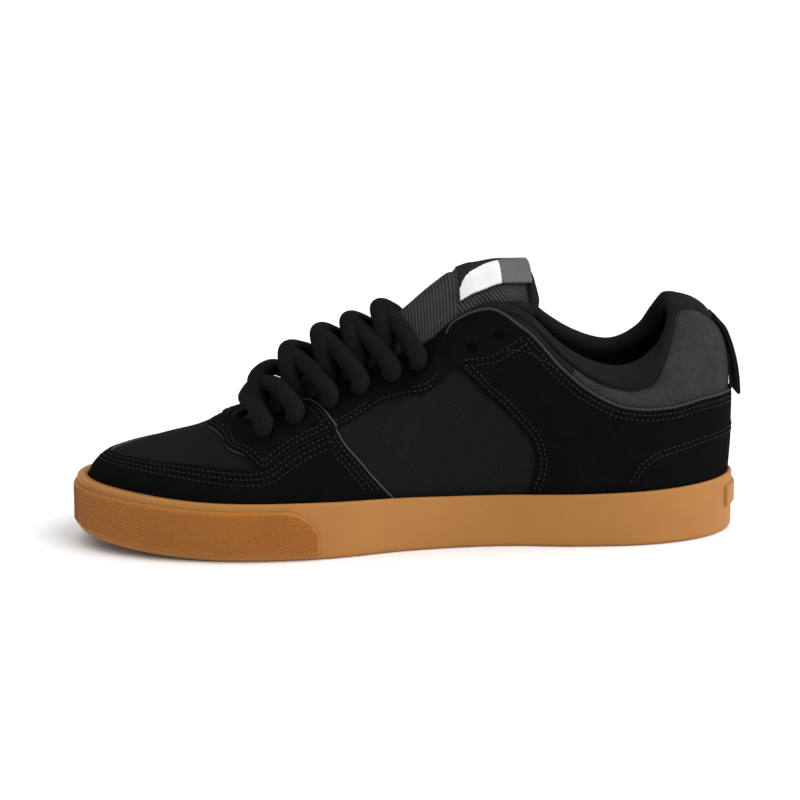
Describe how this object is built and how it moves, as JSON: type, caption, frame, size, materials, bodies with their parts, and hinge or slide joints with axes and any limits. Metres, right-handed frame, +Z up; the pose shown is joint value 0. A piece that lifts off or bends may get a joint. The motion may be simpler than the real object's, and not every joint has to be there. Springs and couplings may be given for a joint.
{
  "type": "skateboarding shoe",
  "caption": "Low lace-up skate shoe for the right foot: flat gum cupsole with a raised toe bumper, suede and textile upper, padded tongue and collar, fat laces.",
  "frame": {"origin": "on the floor at the middle of the sole's length, on the shoe's long axis", "axes": "+X to the toe, +Y to the inner (medial) side of the foot, +Z up from the floor"},
  "size_m": [0.3024, 0.1102, 0.1218],
  "materials": {
    "gum_rubber": "satin gum",
    "suede": "napped suede",
    "textile": "woven",
    "lining": "mesh",
    "lace": "woven",
    "ribbon": "webbing"
  },
  "bodies": {
    "root": {"cupsole": "gum_rubber", "insole": "lining", "upper": "textile", "mudguard": "suede", "toe_eyestay": "suede", "heel_counter": "suede", "eyestay_medial": "suede", "eyestay_lateral": "suede", "quarter_medial": "suede", "quarter_lateral": "suede", "tongue": "textile", "tongue_label": "ribbon", "heel_pull_tab": "ribbon", "laces": "lace"}
  },
  "joints": []
}
